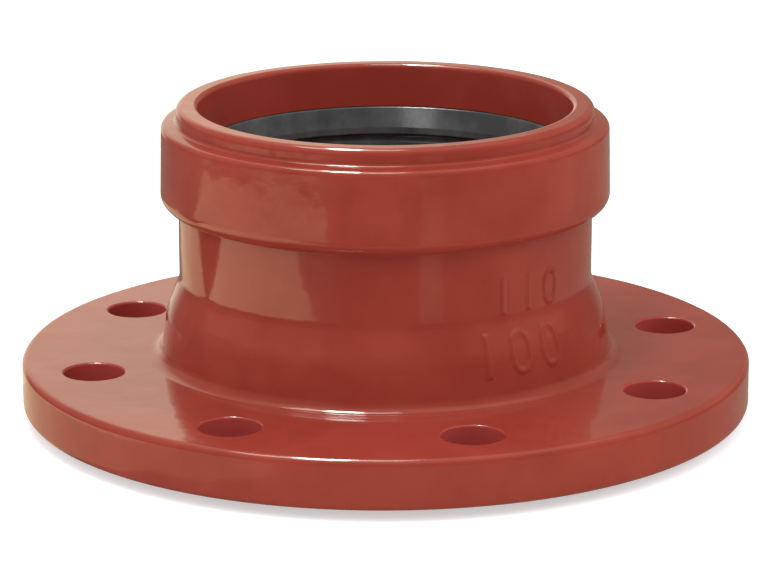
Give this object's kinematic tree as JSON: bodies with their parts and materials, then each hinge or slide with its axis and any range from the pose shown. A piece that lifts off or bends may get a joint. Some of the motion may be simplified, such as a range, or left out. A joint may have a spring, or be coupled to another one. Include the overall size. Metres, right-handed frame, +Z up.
{
  "type": "flanged socket",
  "caption": "Cast iron flanged socket: a drilled flange cast in one with a bell that takes a plastic pressure pipe on a rubber sealing ring.",
  "frame": {"origin": "centre of the raised sealing face at the bottom of the flange, on the axis of the bore", "axes": "+Z up the bore from the flange to the mouth; +X and +Y are the flange's centre lines, which the bolt holes straddle"},
  "size_m": [0.22, 0.22, 0.0944],
  "materials": {
    "red_coating": "glossy red-brown coating over ductile iron",
    "seal_rubber": "satin dark grey moulded rubber"
  },
  "bodies": {
    "root": {"socket_casting": "red_coating", "seal_ring": "seal_rubber"}
  },
  "joints": []
}
